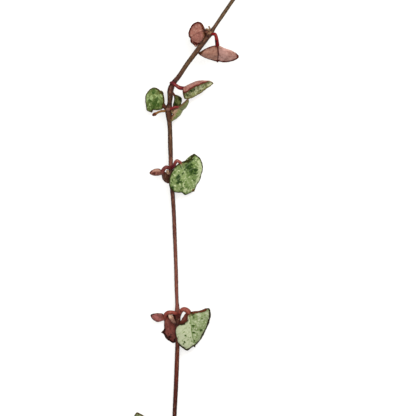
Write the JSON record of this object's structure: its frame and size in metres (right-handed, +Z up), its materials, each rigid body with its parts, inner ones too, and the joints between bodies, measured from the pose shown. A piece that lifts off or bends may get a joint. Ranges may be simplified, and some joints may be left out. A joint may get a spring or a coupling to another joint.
{
  "type": "silver glory string of hearts",
  "caption": "Cut trailing vine strand lying flat, with pairs of thick heart-shaped leaves on curved red petioles along one thin stem.",
  "frame": {"origin": "on the surface that the strand lies on, under the middle of the strand's bounding box", "axes": "+Y along the strand towards its cut end, +X to the right as seen from above, +Z up"},
  "size_m": [0.0554, 0.2335, 0.0119],
  "materials": {
    "stem": "matte reddish brown bark with pale pores",
    "leaf_silver": "satin, pale silver green with a dark rim",
    "leaf_dark": "satin, dark olive green",
    "leaf_pink": "matte, dusty pink underside",
    "leaf_maroon": "matte, maroon underside",
    "dried_stalk": "matte, dry tan",
    "bead": "matte, corky tan"
  },
  "bodies": {
    "root": {"stem": "stem", "leaf_a_left": "leaf_pink", "leaf_a_right": "leaf_pink", "stump_a": "bead", "leaf_b_right": "leaf_pink", "leaf_b_back": "leaf_dark", "leaf_c_left": "leaf_silver", "leaf_c_right": "leaf_dark", "flower_stalk": "dried_stalk", "leaf_d_left": "leaf_maroon", "leaf_d_right": "leaf_silver", "bead_d": "bead", "leaf_e_left": "leaf_maroon", "leaf_e_right": "leaf_silver", "bead_e": "bead", "leaf_f_left": "leaf_silver", "leaf_f_right": "leaf_silver", "young_leaf_left": "leaf_dark", "young_leaf_right": "leaf_dark"}
  },
  "joints": []
}
